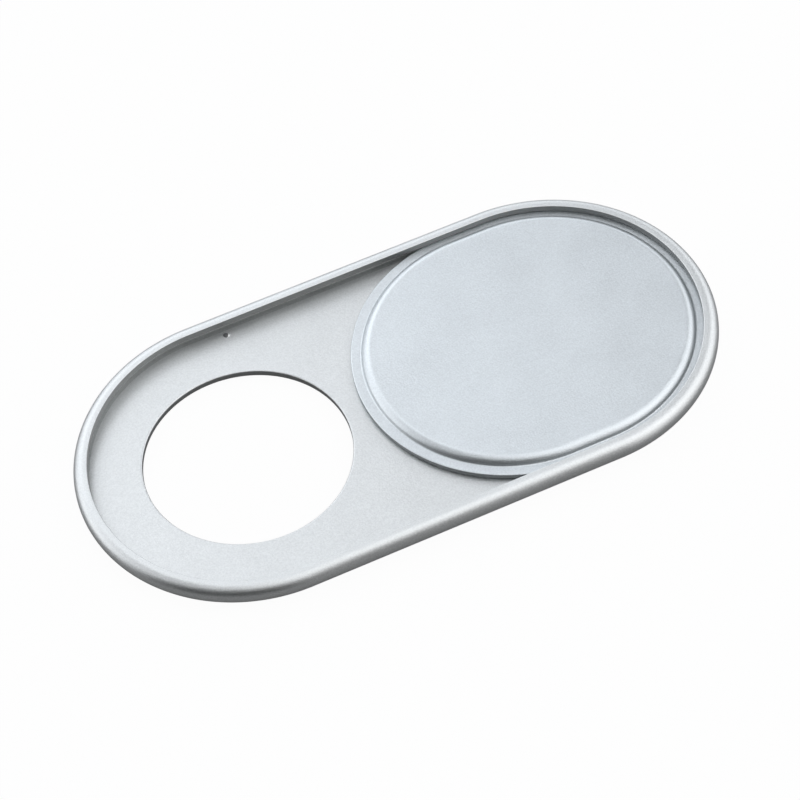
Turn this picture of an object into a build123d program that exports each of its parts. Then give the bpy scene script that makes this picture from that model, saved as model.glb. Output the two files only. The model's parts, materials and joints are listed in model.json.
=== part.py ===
# Webcam cover slider: a stamped track frame with a lens window, a shutter that slides under
# the frame's turned-in lips, and a die-cut adhesive pad on the back.
# Millimetres. +X runs along the track, with the window at -X and the shutter parked at +X.
# +Z points out of the face, and z = 0 is the sticky face of the pad.
import os

from build123d import *

# Track frame: outline and sheet
body_length = 18.0
body_width = 9.25
base_sheet = 0.2
rim_flat = 0.01  # upright band left between the two bends of the rolled rim

# Lens window, concentric with the frame's round end
window_radius = 2.81
window_break = 0.03  # chamfer on both of its edges

# Shutter
shutter_straight = 1.065  # straight run between its two round ends
shutter_sheet = 0.15
shoulder_flat = 0.03  # upright band under the bend of the plateau's shoulder

# Running fits between the shutter and the frame
floor_clearance = 0.04
lip_clearance = 0.015
side_clearance = 0.1
end_clearance = 0.1
lip_overlap = 0.105  # how far the flange reaches under the lip
plateau_gap = 0.185  # between the plateau's foot and the lip's edge
plateau_recess = 0.035  # plateau top below the lip's top

# Friction bump, pressed up from the floor
bump_radius = 0.1
bump_clearance = 0.005  # under the flange as it passes
bump_from_lip = 0.15
bump_from_window = 1.0  # along the track, from the window's centre

# Adhesive pad
pad_thickness = 0.1
pad_margin = 0.18  # in from the end of the rim's bend
pad_window_margin = 0.35

# Heights
floor_bottom = pad_thickness
floor_top = floor_bottom + base_sheet
flange_bottom = floor_top + floor_clearance
flange_top = flange_bottom + shutter_sheet
lip_bottom = flange_top + lip_clearance
lip_top = lip_bottom + base_sheet
plateau_top = lip_top - plateau_recess

# Half widths, from the outer wall inwards
channel_half = body_width / 2 - base_sheet
flange_half = channel_half - side_clearance
lip_half = flange_half - lip_overlap
plateau_half = lip_half - plateau_gap

# Bends: the inside of each bend is the outside less one sheet
rim_radius = (lip_top - floor_bottom - rim_flat) / 2
channel_radius = rim_radius - base_sheet
recess_radius = plateau_top - flange_top - shoulder_flat
shoulder_radius = recess_radius + shutter_sheet

# Places along the track
body_straight = body_length - body_width
window_x = -body_straight / 2
shutter_x = body_length / 2 - base_sheet - end_clearance - flange_half - shutter_straight / 2


def round_ended(straight, half_width, bottom, top):
    """Upright block with two straight sides and two round ends, centred on the track."""
    outline = SlotCenterToCenter(straight, 2 * half_width)
    return extrude(Plane.XY.offset(bottom) * outline, top - bottom)


def level_edges(block, height):
    """Edges of a block that lie flat at one height."""
    return block.edges().filter_by_position(Axis.Z, height, height)


def window_cutter():
    """Round hole through the floor, with both of its edges broken."""
    broken_radius = window_radius + window_break
    profile = Polyline(
        (0, floor_bottom),
        (broken_radius, floor_bottom),
        (window_radius, floor_bottom + window_break),
        (window_radius, floor_top - window_break),
        (broken_radius, floor_top),
        (0, floor_top),
        close=True,
    )
    return Pos(window_x, 0, 0) * revolve(Plane.XZ * make_face(profile), Axis.Z)


def track_frame():
    """Stamped floor, rolled rim and lip, with the window and the friction bump."""
    frame = round_ended(body_straight, body_width / 2, floor_bottom, lip_top)
    frame = fillet(level_edges(frame, floor_bottom) + level_edges(frame, lip_top), rim_radius)
    channel = round_ended(body_straight, channel_half, floor_top, lip_bottom)
    channel = fillet(level_edges(channel, floor_top) + level_edges(channel, lip_bottom), channel_radius)
    opening = round_ended(body_straight, lip_half, floor_top, lip_top)

    # The bump is a low cap, and the punch leaves the same cap hollow in the back.
    bump_height = floor_clearance - bump_clearance
    ball_radius = (bump_radius**2 + bump_height**2) / (2 * bump_height)
    ball = Pos(
        window_x + bump_from_window, lip_half - bump_from_lip, bump_height - ball_radius
    ) * Sphere(ball_radius)
    bump = Pos(0, 0, floor_top) * ball & opening
    punch_mark = Pos(0, 0, floor_bottom) * ball

    return frame - channel - opening - window_cutter() + bump - punch_mark


def shutter():
    """Flat flange and embossed plateau of one sheet, open underneath."""
    flange = round_ended(shutter_straight, flange_half, flange_bottom, flange_top)

    # The shoulder's arc meets the flange short of upright, so the boss is wider than the foot.
    arc_drop = shoulder_radius - (plateau_top - flange_top)
    arc_inset = shoulder_radius - (shoulder_radius**2 - arc_drop**2) ** 0.5
    boss_half = plateau_half + arc_inset
    boss = round_ended(shutter_straight, boss_half, flange_bottom, plateau_top)
    boss = fillet(level_edges(boss, plateau_top), shoulder_radius)

    recess_top = plateau_top - shutter_sheet
    recess = round_ended(shutter_straight, boss_half - shutter_sheet, flange_bottom, recess_top)
    recess = fillet(level_edges(recess, recess_top), recess_radius)

    return Pos(shutter_x, 0, 0) * (flange + boss - recess)


def adhesive_pad():
    """Tape cut to the flat of the frame's back, with a clear hole round the window."""
    pad_half = body_width / 2 - rim_radius - pad_margin
    pad = round_ended(body_straight, pad_half, 0, pad_thickness)
    hole = Pos(window_x, 0, 0) * Cylinder(
        window_radius + pad_window_margin, pad_thickness, align=(Align.CENTER, Align.CENTER, Align.MIN)
    )
    return pad - hole


os.makedirs("parts", exist_ok=True)
for name, piece in {
    "track_frame": track_frame(),
    "shutter": shutter(),
    "adhesive_pad": adhesive_pad(),
}.items():
    export_step(piece, f"parts/{name}.step")
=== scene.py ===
import json
import math

import bmesh
import bpy
from mathutils import Matrix, Vector


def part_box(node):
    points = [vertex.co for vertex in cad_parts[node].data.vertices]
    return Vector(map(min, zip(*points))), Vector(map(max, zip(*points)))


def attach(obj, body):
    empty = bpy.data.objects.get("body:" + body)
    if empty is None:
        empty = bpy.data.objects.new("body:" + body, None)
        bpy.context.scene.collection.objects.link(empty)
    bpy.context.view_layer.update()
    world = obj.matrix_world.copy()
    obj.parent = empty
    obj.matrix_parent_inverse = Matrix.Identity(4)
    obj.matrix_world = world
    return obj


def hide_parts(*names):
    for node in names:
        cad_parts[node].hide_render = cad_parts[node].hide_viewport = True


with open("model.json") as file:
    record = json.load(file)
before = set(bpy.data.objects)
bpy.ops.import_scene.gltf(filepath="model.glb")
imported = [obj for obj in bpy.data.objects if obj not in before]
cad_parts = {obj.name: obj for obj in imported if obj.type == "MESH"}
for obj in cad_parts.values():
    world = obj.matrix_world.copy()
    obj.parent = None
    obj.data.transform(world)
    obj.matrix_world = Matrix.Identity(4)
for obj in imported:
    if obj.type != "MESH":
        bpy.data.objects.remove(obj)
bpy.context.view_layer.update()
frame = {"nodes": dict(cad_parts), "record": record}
scene = bpy.context.scene
scene.view_settings.view_transform = "Standard"
mm = 0.001  # sizes below are in millimetres, and each tree scales its result to metres
weldDistance = 0.0005
print("frame loaded:", ", ".join(sorted(frame["nodes"])))


class Sock:  # a node's socket that adds Math nodes when it is used in sums
    def __init__(self, graph, socket):
        self.graph = graph
        self.socket = socket

    def math(self, operation, first, second=0.0):
        return self.graph.add("ShaderNodeMath", {"operation": operation}, {0: first, 1: second})

    def __abs__(self):
        return self.math("ABSOLUTE", self)

    def __add__(self, other):
        return self.math("ADD", self, other)

    def __radd__(self, other):
        return self.math("ADD", other, self)

    def __sub__(self, other):
        return self.math("SUBTRACT", self, other)

    def __rsub__(self, other):
        return self.math("SUBTRACT", other, self)

    def __mul__(self, other):
        return self.math("MULTIPLY", self, other)

    def __rmul__(self, other):
        return self.math("MULTIPLY", other, self)

    def __truediv__(self, other):
        return self.math("DIVIDE", self, other)

    def __rtruediv__(self, other):
        return self.math("DIVIDE", other, self)


class Graph:  # one node tree, filled through add()
    def __init__(self, tree):
        self.tree = tree
        tree.nodes.clear()

    def add(self, kind, settings=None, values=None, out=0):
        node = self.tree.nodes.new(kind)
        for name, value in (settings or {}).items():
            setattr(node, name, value)
        for key, value in (values or {}).items():
            for item in value if isinstance(value, list) else [value]:
                if isinstance(item, Sock):
                    self.tree.links.new(item.socket, node.inputs[key])
                else:
                    node.inputs[key].default_value = item
        return Sock(self, node.outputs[out] if node.outputs else None)


# Geometry Nodes helpers

socketKinds = {
    float: "NodeSocketFloat",
    int: "NodeSocketInt",
    bpy.types.Object: "NodeSocketObject",
    bpy.types.Material: "NodeSocketMaterial",
}


def newTree(name, inputs):  # inputs: name and the type of each value the tree takes
    tree = bpy.data.node_groups.new(name, "GeometryNodeTree")
    tree.interface.new_socket(name="Geometry", in_out="OUTPUT", socket_type="NodeSocketGeometry")
    for label, kind in inputs.items():
        tree.interface.new_socket(name=label, in_out="INPUT", socket_type=socketKinds[kind])
    graph = Graph(tree)
    source = tree.nodes.new("NodeGroupInput")
    return graph, {label: Sock(graph, source.outputs[label]) for label in inputs}


def vector(graph, x=0.0, y=0.0, z=0.0):
    return graph.add("ShaderNodeCombineXYZ", {}, {"X": x, "Y": y, "Z": z})


def shift(graph, geometry, x=0.0, y=0.0, z=0.0):
    offset = vector(graph, x, y, z)
    return graph.add("GeometryNodeTransform", {}, {"Geometry": geometry, "Translation": offset})


def join(graph, *parts):
    return graph.add("GeometryNodeJoinGeometry", {}, {0: list(parts)})


def makePathTree():  # a flat outline with two straight sides and two round ends
    graph, size = newTree("roundEndedPath", {"Straight": float, "Radius": float, "Steps": int})
    ring = graph.add(
        "GeometryNodeCurvePrimitiveCircle", {}, {"Resolution": size["Steps"], "Radius": size["Radius"]}
    )
    halfStep = vector(graph, z=math.pi / size["Steps"])
    ring = graph.add("GeometryNodeTransform", {}, {"Geometry": ring, "Rotation": halfStep})
    place = graph.add("GeometryNodeInputPosition")
    placeX = graph.add("ShaderNodeSeparateXYZ", {}, {0: place})
    side = graph.add("ShaderNodeMath", {"operation": "SIGN"}, {0: placeX})
    offset = vector(graph, x=side * size["Straight"] / 2)
    ring = graph.add("GeometryNodeSetPosition", {}, {"Geometry": ring, "Offset": offset})
    graph.add("NodeGroupOutput", {}, {0: ring})
    return graph.tree


pathTree = makePathTree()


def path(graph, straight, radius, steps):
    values = {"Straight": straight, "Radius": radius, "Steps": steps}
    return graph.add("GeometryNodeGroup", {"node_tree": pathTree}, values)


def sweep(graph, outline, section):
    profile = graph.add("GeometryNodeObjectInfo", {}, {"Object": section})
    profile = Sock(graph, profile.socket.node.outputs["Geometry"])
    return graph.add("GeometryNodeCurveToMesh", {}, {"Curve": outline, "Profile Curve": profile})


def fill(graph, outlines, z):
    return shift(graph, graph.add("GeometryNodeFillCurve", {"mode": "TRIANGLES"}, {0: outlines}), z=z)


def finishTree(graph, skin, material):  # weld, shrink to metres, smooth, then the last two nodes
    skin = graph.add("GeometryNodeMergeByDistance", {}, {"Geometry": skin, "Distance": weldDistance})
    skin = graph.add("GeometryNodeTransform", {}, {"Geometry": skin, "Scale": (mm, mm, mm)})
    skin = graph.add("GeometryNodeSetShadeSmooth", {}, {"Geometry": skin})
    skin = graph.add("GeometryNodeRealizeInstances", {}, {"Geometry": skin})
    skin = graph.add("GeometryNodeSetMaterial", {}, {"Geometry": skin, "Material": material})
    graph.add("NodeGroupOutput", {}, {0: skin})


def bentSection(name, corners, footRadius, bendSteps, hold=0.006):
    # Each corner is (radius on the plan, height, bend); the first and the last are open ends.
    # A holding point beside every bend keeps the flats flat in the shading.
    spots = [Vector(corner[:2]) for corner in corners]
    reaches = [0.0]
    for before, here, after, corner in zip(spots, spots[1:], spots[2:], corners[1:]):
        turn = (here - before).angle(after - here)
        reaches.append(corner[2] * math.tan(turn / 2))
    reaches.append(0.0)
    points = [spots[0]]
    for i in range(1, len(spots) - 1):
        back = spots[i - 1] - spots[i]
        onward = spots[i + 1] - spots[i]
        spareBack = back.length - reaches[i] - reaches[i - 1]
        spareOnward = onward.length - reaches[i] - reaches[i + 1]
        back.normalize()
        onward.normalize()
        middle = (back + onward).normalized()
        centre = spots[i] + middle * corners[i][2] / math.sin(back.angle(onward) / 2)
        start = spots[i] + back * reaches[i] - centre
        end = spots[i] + onward * reaches[i] - centre
        points.append(centre + start + back * min(hold, spareBack / 3))
        for step in range(bendSteps + 1):
            points.append(centre + start.slerp(end, step / bendSteps) * corners[i][2])
        points.append(centre + end + onward * min(hold, spareOnward / 3))
    points.append(spots[-1])

    data = bpy.data.curves.new(name, "CURVE")
    data.dimensions = "3D"
    spline = data.splines.new("POLY")
    spline.points.add(len(points) - 1)
    for knot, point in zip(spline.points, points):
        knot.co = (point.x - footRadius, -point.y, 0, 1)  # Y of a swept section runs down
    section = bpy.data.objects.new(name, data)
    scene.collection.objects.link(section)
    return section


def grow(name, graph, values):  # runs the tree once and keeps its result as a plain mesh
    holder = bpy.data.objects.new(name + "Holder", bpy.data.meshes.new(name + "Holder"))
    scene.collection.objects.link(holder)
    modifier = holder.modifiers.new("tree", "NODES")
    modifier.node_group = graph.tree
    for item in graph.tree.interface.items_tree:
        if item.in_out == "INPUT":
            modifier[item.identifier] = values[item.name]
    holder.update_tag()
    depsgraph = bpy.context.evaluated_depsgraph_get()
    mesh = bpy.data.meshes.new_from_object(holder.evaluated_get(depsgraph))
    holder.modifiers.remove(modifier)
    for spare in [holder] + [v for v in values.values() if isinstance(v, bpy.types.Object)]:
        bpy.data.objects.remove(spare)

    work = bmesh.new()
    work.from_mesh(mesh)
    bmesh.ops.recalc_face_normals(work, faces=work.faces[:])
    openEdges = sum(1 for edge in work.edges if len(edge.link_faces) != 2)
    volume = work.calc_volume(signed=True) / mm**3
    work.to_mesh(mesh)
    work.free()
    mesh.name = name
    piece = bpy.data.objects.new(name, mesh)
    scene.collection.objects.link(piece)
    print(f"{name}: {len(mesh.polygons)} faces, {openEdges} open edges, {volume:.3f} mm3")
    return piece


# Camera, at the photograph's angle

cameraLook = {
    "azimuth": -16.875,
    "elevation": 52.418,
    "roll": -8.566,
    "distance": 73.86,
    "lens": 124.465,
    "sensor": 36,
    "clip": (0.002, 5),  # metres
    "aimAside": 0.0368,  # where the camera looks, from the middle of the track's floor
    "aimUp": -0.1527,
    "aimHeight": 0.3,
}


def makeCamera(look):
    turn, lift, roll = (math.radians(look[key]) for key in ("azimuth", "elevation", "roll"))
    back = Vector((math.sin(turn) * math.cos(lift), -math.cos(turn) * math.cos(lift), math.sin(lift)))
    level = Vector((math.cos(turn), math.sin(turn), 0))
    upright = back.cross(level)
    right = level * math.cos(roll) + upright * math.sin(roll)
    up = upright * math.cos(roll) - level * math.sin(roll)
    place = right * look["aimAside"] + up * look["aimUp"] + back * look["distance"]
    place.z += look["aimHeight"]
    data = bpy.data.cameras.new("camera")
    data.sensor_width = look["sensor"]
    data.lens = look["lens"]
    data.clip_start, data.clip_end = look["clip"]
    camera = bpy.data.objects.new("camera", data)
    camera.matrix_world = Matrix.Translation(place * mm) @ Matrix((right, up, back)).transposed().to_4x4()
    scene.collection.objects.link(camera)
    scene.camera = camera


makeCamera(cameraLook)
print("camera placed")


# Finishes

blastLook = {
    "roughness": 0.43,
    "roughSpread": 0.08,
    "grain": 0.047,  # size of the blasted grains
    "grainDetail": 3.0,
    "grainRough": 0.6,
    "grainShare": 0.8,  # of the colour's change, and the rest is the cloud's
    "cloud": 1.6,  # size of the broad, faint clouding
    "bump": 0.005,
    "rawRough": 0.2,  # added where painted shade darkens the colour: the sheared edges and the channel
    "soft": 0.004,  # how far a ring of painted shade fades at its sides
}


def newMaterial(name):
    material = bpy.data.materials.new(name)
    material.use_nodes = True
    return material, Graph(material.node_tree)


def noise(graph, place, size, detail=2.0, roughness=0.5):
    values = {"Vector": place, "Scale": 1 / (size * mm), "Detail": detail, "Roughness": roughness}
    return graph.add("ShaderNodeTexNoise", {}, values)


def blend(graph, amount, first, second):
    first, second = (c if isinstance(c, Sock) else (*c, 1) for c in (first, second))
    values = {"Factor": amount, 6: first, 7: second}
    return graph.add("ShaderNodeMix", {"data_type": "RGBA"}, values, out=2)


def fade(graph, value, low, high, atHigh=0.0):  # a smooth step from 1 at low to atHigh at high
    values = {"Value": value, "From Min": low, "From Max": high, "To Min": 1.0, "To Max": atHigh}
    return graph.add("ShaderNodeMapRange", {"interpolation_type": "SMOOTHSTEP"}, values)


def band(graph, value, low, high, soft):  # 1 between low and high, fading outside them
    half = (high - low) / 2
    return fade(graph, abs(value - (low + high) / 2 * mm), half * mm, (half + soft) * mm)


def paintedShadeRing(graph, place, ring, soft):  # a ring along a round-ended outline, where painted shade darkens the colour by its shade
    middle = (ring["x"] * mm, ring["y"] * mm, 0)
    offset = graph.add("ShaderNodeVectorMath", {"operation": "SUBTRACT"}, {0: place, 1: middle})
    axes = graph.add("ShaderNodeSeparateXYZ", {}, {0: offset}).socket.node.outputs
    x, y, z = (Sock(graph, axis) for axis in axes)
    past = abs(x) - ring["straight"] * mm / 2
    past = past.math("MAXIMUM", past)
    away = past * past + y * y
    away = away.math("SQRT", away)
    inside = band(graph, away, *ring["away"], soft) * band(graph, z, *ring["height"], soft)
    return 1 - inside * (1 - ring["shade"])


def makeBlasted(name, look, piece, rings):
    material, graph = newMaterial(name)
    place = graph.add("ShaderNodeTexCoord", out=3)
    # the rings paint shade into the colour, on top of the grain
    shade = math.prod(paintedShadeRing(graph, place, ring, look["soft"]) for ring in rings)
    grain = noise(graph, place, look["grain"], look["grainDetail"], look["grainRough"])
    cloud = noise(graph, place, look["cloud"])
    dark = [c * (1 - piece["speckle"]) for c in piece["colour"]]
    pale = [c * (1 + piece["speckle"]) for c in piece["colour"]]
    share = look["grainShare"]
    colour = blend(graph, grain * share + cloud * (1 - share), dark, pale)
    colour = blend(graph, shade, (0, 0, 0), colour)
    roughness = look["roughness"] + (grain + cloud - 1) * look["roughSpread"] + (1 - shade) * look["rawRough"]
    bump = graph.add("ShaderNodeBump", {}, {"Distance": look["bump"] * mm, "Height": grain})
    values = {"Base Color": colour, "Metallic": 1.0, "Roughness": roughness, "Normal": bump}
    shader = graph.add("ShaderNodeBsdfPrincipled", {}, values)
    graph.add("ShaderNodeOutputMaterial", {}, {"Surface": shader})
    return material


tapeLook = {
    "pale": (0.78, 0.78, 0.76),
    "shade": (0.66, 0.67, 0.66),
    "fibre": 0.12,
    "fibreDetail": 4.0,
    "fibreRough": 0.65,
    "fibreShare": 0.6,  # of the colour's change, and the rest is the mottle's
    "mottle": 0.9,
    "bump": 0.004,
    "roughness": 0.55,
    "roughSpread": 0.2,
}


def makeTape(name, look):
    material, graph = newMaterial(name)
    place = graph.add("ShaderNodeTexCoord", out=3)
    fibre = noise(graph, place, look["fibre"], look["fibreDetail"], look["fibreRough"])
    mottle = noise(graph, place, look["mottle"])
    share = look["fibreShare"]
    colour = blend(graph, fibre * share + mottle * (1 - share), look["shade"], look["pale"])
    roughness = look["roughness"] + (mottle - 0.5) * look["roughSpread"]
    bump = graph.add("ShaderNodeBump", {}, {"Distance": look["bump"] * mm, "Height": fibre})
    values = {"Base Color": colour, "Roughness": roughness, "Normal": bump}
    shader = graph.add("ShaderNodeBsdfPrincipled", {}, values)
    graph.add("ShaderNodeOutputMaterial", {}, {"Surface": shader})
    return material


frame["nodes"]["adhesive_pad"].data.materials[0] = makeTape("tape", tapeLook)
print("finishes made")


# Track frame: one sheet with a rolled rim, a lens window and a friction bump

trackLook = {
    "sheet": 0.2,
    "lipReach": 0.405,  # from the outer wall to the lip's edge
    "rimFlat": 0.01,
    "lipEdge": 0.025,
    "windowEdge": 0.045,
    "seam": 0.02,  # from the end of a bend to where the floor's faces begin
    "bumpRadius": 0.1,
    "bumpHeight": 0.035,
    "bumpCrown": 0.0685,
    "bumpFootBend": 0.008,
    "bumpCrownBend": 0.05,
    "bumpSeam": 0.03,
    "bumpFromLip": 0.15,
    "bumpFromWindow": 1.0,
    "colour": (0.826, 0.839, 0.836),
    "speckle": 0.22,  # how far the grains differ in brightness
    "rawReach": 0.006,  # how far the painted shade on the sheared edges reaches past their walls
    # painted shade on the lip's inner face
    "lipShade": 0.4,
    # painted shade in the channel under the lip
    "channelShade": 0.8,
    "channelPast": 0.05,  # how far its shade goes past its wall
    "channelOver": 0.02,  # and over its roof
    # painted shade on the window's wall
    "windowShade": 0.5,
    "bumpShade": 0.3,  # painted shade on the bump's side towards the window
    "bumpShadeAside": (-0.03, -0.02),
    "bumpShadeRadius": 0.07,
    "bumpShadeFrom": 0.006,  # above the floor
    "steps": 256,
    "bumpSteps": 40,
    "bendSteps": 12,
    "smallBendSteps": 6,
}


def makeTrack(look):
    low, high = (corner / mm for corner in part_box("track_frame"))
    window = next(m for m in frame["record"]["mounts"] if m["name"] == "lens_window")
    windowX = window["pos_m"][0] / mm
    windowRadius = window["dims"]["r_mm"]
    sheet = look["sheet"]
    half = (high.y - low.y) / 2
    floorTop = low.z + sheet
    lipBottom = high.z - sheet
    lipHalf = half - look["lipReach"]
    rimBend = (high.z - low.z - look["rimFlat"]) / 2
    inner = half - sheet
    foot = half - rimBend - look["seam"]
    rim = bentSection(
        "rimSection",
        [
            (foot, floorTop),
            (inner, floorTop, rimBend - sheet),
            (inner, lipBottom, rimBend - sheet),
            (lipHalf, lipBottom, look["lipEdge"]),
            (lipHalf, high.z, look["lipEdge"]),
            (half, high.z, rimBend),
            (half, low.z, rimBend),
            (foot, low.z),
        ],
        foot,
        look["bendSteps"],
    )
    windowFoot = windowRadius + look["windowEdge"] + look["seam"]
    wall = bentSection(
        "wallSection",
        [
            (windowFoot, floorTop),
            (windowRadius, floorTop, look["windowEdge"]),
            (windowRadius, low.z, look["windowEdge"]),
            (windowFoot, low.z),
        ],
        windowFoot,
        look["smallBendSteps"],
    )
    bumpFoot = look["bumpRadius"] + look["bumpSeam"]
    bumpTop = floorTop + look["bumpHeight"]
    bump = bentSection(
        "bumpSection",
        [
            (bumpFoot, floorTop),
            (look["bumpRadius"], floorTop, look["bumpFootBend"]),
            (look["bumpCrown"], bumpTop, look["bumpCrownBend"]),
            (0, bumpTop),
        ],
        bumpFoot,
        look["smallBendSteps"],
    )

    straight = high.x - low.x - 2 * half
    bumpX = windowX + look["bumpFromWindow"]
    bumpY = lipHalf - look["bumpFromLip"]
    edge = look["rawReach"]
    asideX, asideY = look["bumpShadeAside"]
    track = {"x": 0, "y": 0, "straight": straight}
    # rings of painted shade: the lip's inner face, the channel under the lip, the window's wall and the
    # bump's side
    rings = [
        {
            **track,
            "away": (lipHalf - edge, lipHalf + edge),
            "height": (lipBottom, high.z),
            "shade": look["lipShade"],
        },
        {
            **track,
            "away": (lipHalf + edge, inner + look["channelPast"]),
            "height": (floorTop, lipBottom + look["channelOver"]),
            "shade": look["channelShade"],
        },
        {
            "x": windowX, "y": 0, "straight": 0,
            "away": (windowRadius - edge, windowRadius + edge),
            "height": (low.z, floorTop),
            "shade": look["windowShade"],
        },
        {
            "x": bumpX + asideX, "y": bumpY + asideY, "straight": 0,
            "away": (0, look["bumpShadeRadius"]),
            "height": (floorTop + look["bumpShadeFrom"], bumpTop),
            "shade": look["bumpShade"],
        },
    ]
    material = makeBlasted("frameMetal", blastLook, look, rings)

    sizes = {
        "Straight": straight,
        "Floor Radius": foot,
        "Floor Top": floorTop,
        "Floor Bottom": low.z,
        "Window X": windowX,
        "Window Radius": windowFoot,
        "Bump X": bumpX,
        "Bump Y": bumpY,
        "Bump Radius": bumpFoot,
    }
    kinds = {name: float for name in sizes}
    sections = {"Rim Section": rim, "Wall Section": wall, "Bump Section": bump}
    kinds.update({name: bpy.types.Object for name in sections})
    graph, size = newTree("trackFrame", {**kinds, "Steps": int, "Material": bpy.types.Material})
    outline = path(graph, size["Straight"], size["Floor Radius"], size["Steps"])
    hole = shift(graph, path(graph, 0.0, size["Window Radius"], size["Steps"]), size["Window X"])
    dimple = path(graph, 0.0, size["Bump Radius"], look["bumpSteps"])
    dimple = shift(graph, dimple, size["Bump X"], size["Bump Y"])
    cap = sweep(graph, dimple, size["Bump Section"])
    punchMark = shift(graph, cap, z=size["Floor Bottom"] - size["Floor Top"])
    outlines = join(graph, outline, hole, dimple)
    skin = join(
        graph,
        sweep(graph, outline, size["Rim Section"]),
        sweep(graph, hole, size["Wall Section"]),
        cap,
        punchMark,
        fill(graph, outlines, size["Floor Top"]),
        fill(graph, outlines, size["Floor Bottom"]),
    )
    finishTree(graph, skin, size["Material"])
    values = {**sizes, **sections, "Steps": look["steps"], "Material": material}
    return grow("rolledTrack", graph, values)


rolledTrack = makeTrack(trackLook)
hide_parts("track_frame")
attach(rolledTrack, "frame")


# Shutter: a flat flange and an embossed plateau of one sheet, hollow underneath

shutterLook = {
    "sheet": 0.15,
    "plateauInset": 0.29,  # from the flange's edge to the plateau's foot
    "shoulderSlope": 60.9,
    "shoulderBend": 0.295,
    "footBend": 0.05,
    "recessBend": 0.15,
    "recessEdge": 0.02,
    "recessGain": 0.025,  # wider than one sheet inside the plateau's foot
    "seam": 0.03,  # from the recess's bend to where the flat faces begin
    "flangeEdge": 0.04,
    "colour": (0.805, 0.842, 0.862),
    "speckle": 0.23,
    # how far the painted shade on the flange's edge reaches past it
    "rawReach": 0.006,
    # painted shade on the flange's edge
    "edgeShade": 0.45,
    "footShade": 0.8,  # painted shade on the plateau's lower flank, where it is drawn up from the flange
    "footShadeWide": 0.06,
    "footShadeHeight": (0.025, 0.075),  # above the flange
    "steps": 256,
    "bendSteps": 12,
}


def makeShutter(look):
    low, high = (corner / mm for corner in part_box("shutter"))
    half = (high.y - low.y) / 2
    flangeTop = low.z + look["sheet"]
    recessTop = high.z - look["sheet"]
    plateauHalf = half - look["plateauInset"]
    slope = math.radians(look["shoulderSlope"])
    shoulder = plateauHalf - (high.z - flangeTop) / math.tan(slope)
    recessHalf = plateauHalf - look["sheet"] + look["recessGain"]
    foot = recessHalf - look["recessBend"] - look["seam"]
    section = bentSection(
        "shutterSection",
        [
            (foot, high.z),
            (shoulder, high.z, look["shoulderBend"]),
            (plateauHalf, flangeTop, look["footBend"]),
            (half, flangeTop, look["flangeEdge"]),
            (half, low.z, look["flangeEdge"]),
            (recessHalf, low.z, look["recessEdge"]),
            (recessHalf, recessTop, look["recessBend"]),
            (foot, recessTop),
        ],
        foot,
        look["bendSteps"],
    )
    straight = high.x - low.x - 2 * half
    middle = (low.x + high.x) / 2
    edge = look["rawReach"]
    plan = {"x": middle, "y": 0, "straight": straight}
    # rings of painted shade: the flange's edge and the plateau's lower flank
    rings = [
        {
            **plan,
            "away": (half - edge, half + edge),
            "height": (low.z, flangeTop),
            "shade": look["edgeShade"],
        },
        {
            **plan,
            "away": (plateauHalf - look["footShadeWide"], plateauHalf),
            "height": tuple(flangeTop + rise for rise in look["footShadeHeight"]),
            "shade": look["footShade"],
        },
    ]
    material = makeBlasted("shutterMetal", blastLook, look, rings)

    sizes = {
        "Straight": straight,
        "Plateau Radius": foot,
        "Plateau Top": high.z,
        "Recess Top": recessTop,
        "Shutter X": middle,
    }
    kinds = {name: float for name in sizes}
    kinds.update({"Section": bpy.types.Object, "Steps": int, "Material": bpy.types.Material})
    graph, size = newTree("shutter", kinds)
    outline = path(graph, size["Straight"], size["Plateau Radius"], size["Steps"])
    outline = shift(graph, outline, size["Shutter X"])
    skin = join(
        graph,
        sweep(graph, outline, size["Section"]),
        fill(graph, outline, size["Plateau Top"]),
        fill(graph, outline, size["Recess Top"]),
    )
    finishTree(graph, skin, size["Material"])
    values = {**sizes, "Section": section, "Steps": look["steps"], "Material": material}
    return grow("embossedShutter", graph, values)


embossedShutter = makeShutter(shutterLook)
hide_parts("shutter")
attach(embossedShutter, "shutter")


# Floor and light

floorLook = {
    "size": 600,
    "drop": 0.02,  # under the tape, so that no two faces lie in one plane
    "pale": (0.9, 0.9, 0.9),  # as the camera sees it
    "shade": (0.22, 0.22, 0.22),  # as it lights the metal
    "white": 0.965,  # how much of it is white to the camera
    "mirrored": 0.05,  # and in the metal
}


def rayKinds(graph):  # seen by the camera, and seen in metal or through glass
    rays = graph.add("ShaderNodeLightPath").socket.node.outputs
    seen, glossy, through = (
        Sock(graph, rays[name]) for name in ("Is Camera Ray", "Is Glossy Ray", "Is Transmission Ray")
    )
    return seen, glossy + through


def makeFloor(look):
    mesh = bpy.data.meshes.new("floor")
    reach, z = look["size"] * mm, -look["drop"] * mm
    corners = [(x * reach, y * reach, z) for x, y in ((-1, -1), (1, -1), (1, 1), (-1, 1))]
    mesh.from_pydata(corners, [], [(0, 1, 2, 3)])
    floor = bpy.data.objects.new("floor", mesh)
    scene.collection.objects.link(floor)
    material, graph = newMaterial("paleFloor")
    seen, mirrored = rayKinds(graph)
    lit = graph.add("ShaderNodeBsdfDiffuse", {}, {"Color": blend(graph, seen, look["shade"], look["pale"])})
    white = graph.add("ShaderNodeEmission", {}, {"Color": (1, 1, 1, 1), "Strength": 1.0})
    amount = seen * look["white"] + mirrored * look["mirrored"]
    mixed = graph.add("ShaderNodeMixShader", {}, {0: amount, 1: lit, 2: white})
    graph.add("ShaderNodeOutputMaterial", {}, {"Surface": mixed})
    mesh.materials.append(material)


def direction(look):  # from the object, by degrees from +X towards +Y and then up
    turn, lift = math.radians(look["azimuth"]), math.radians(look["elevation"])
    return Vector((math.cos(turn) * math.cos(lift), math.sin(turn) * math.cos(lift), math.sin(lift)))


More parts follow.
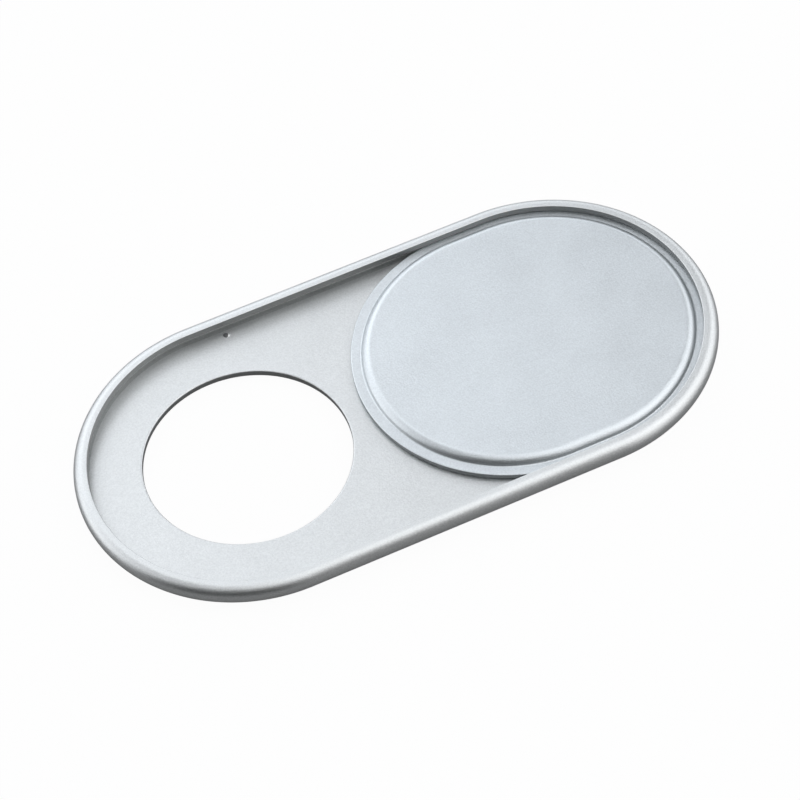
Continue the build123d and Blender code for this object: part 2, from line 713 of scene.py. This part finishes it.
cool, plain = (0.965, 1.0, 1.053), (1.0, 1.0, 1.0)  # tints of the panels
lampLooks = {  # wide and high are the panel's half angles, and level its brightness, where 1 is white
    "keyPanel": {"azimuth": 98, "elevation": 36, "wide": 18, "high": 9, "level": 0.55, "tint": cool},
    "topPanel": {"azimuth": 10, "elevation": 82, "wide": 22, "high": 12, "level": 0.25, "tint": cool},
    "rightFrontPanel": {"azimuth": 318, "elevation": 50, "wide": 16, "high": 16, "level": 0.4, "tint": plain},
    "rightPanel": {"azimuth": 357, "elevation": 30, "wide": 24, "high": 14, "level": 0.1, "tint": plain},
    "leftPanel": {"azimuth": 150, "elevation": 10, "wide": 18, "high": 10, "level": 0.4, "tint": plain},
}
lampDistance = 150 * mm


def makeLamp(name, look):
    out = direction(look)
    data = bpy.data.lights.new(name, "AREA")
    data.shape = "RECTANGLE"
    data.size = 2 * lampDistance * math.tan(math.radians(look["wide"]))
    data.size_y = 2 * lampDistance * math.tan(math.radians(look["high"]))
    data.energy = look["level"] * math.pi * data.size * data.size_y
    data.color = look["tint"]
    lamp = bpy.data.objects.new(name, data)
    lamp.location = out * lampDistance
    lamp.rotation_mode = "QUATERNION"
    lamp.rotation_quaternion = out.to_track_quat("Z", "Y")
    lamp.visible_camera = False
    scene.collection.objects.link(lamp)


tentLook = {  # a white tent all round, with dark gaps in its cloth
    "level": 1.1,
    "backTint": (0.96, 1.0, 1.055),
    "frontTint": (1.0, 1.0, 1.0),
    # angle is a gap's half angle, soft its fade to both sides, and left the share of light in it
    "gaps": [
        {"azimuth": 232, "elevation": 10, "angle": 54, "soft": 6, "left": 0.0},
        {"azimuth": 52, "elevation": 48, "angle": 14, "soft": 4, "left": 0.0},
        {"azimuth": 156, "elevation": 69, "angle": 14, "soft": 5, "left": 0.0},
        {"azimuth": 312, "elevation": 6, "angle": 24, "soft": 12, "left": 0.7},
    ],
}


def makeTent(look):
    world = bpy.data.worlds.new("tent")
    world.use_nodes = True
    graph = Graph(world.node_tree)
    way = graph.add("ShaderNodeTexCoord", out=0)

    def facing(side):
        return graph.add("ShaderNodeVectorMath", {"operation": "DOT_PRODUCT"}, {0: way, 1: side}, out=1)

    cloth = look["level"]
    for gap in look["gaps"]:
        outer = math.cos(math.radians(gap["angle"] + gap["soft"]))
        inner = math.cos(math.radians(gap["angle"] - gap["soft"]))
        cloth = cloth * fade(graph, facing(direction(gap)), outer, inner, gap["left"])
    tint = blend(graph, facing((0, 1, 0)) * 0.5 + 0.5, look["frontTint"], look["backTint"])
    soft = graph.add("ShaderNodeBackground", {}, {"Color": tint, "Strength": cloth})
    white = graph.add("ShaderNodeBackground", {}, {"Color": (1, 1, 1, 1), "Strength": 1.0})
    seen = graph.add("ShaderNodeLightPath")  # its first output is Is Camera Ray
    mixed = graph.add("ShaderNodeMixShader", {}, {0: seen, 1: soft, 2: white})
    graph.add("ShaderNodeOutputWorld", {}, {"Surface": mixed})
    scene.world = world


makeFloor(floorLook)
for lampName, lampLook in lampLooks.items():
    makeLamp(lampName, lampLook)
makeTent(tentLook)
print("floor and light set")
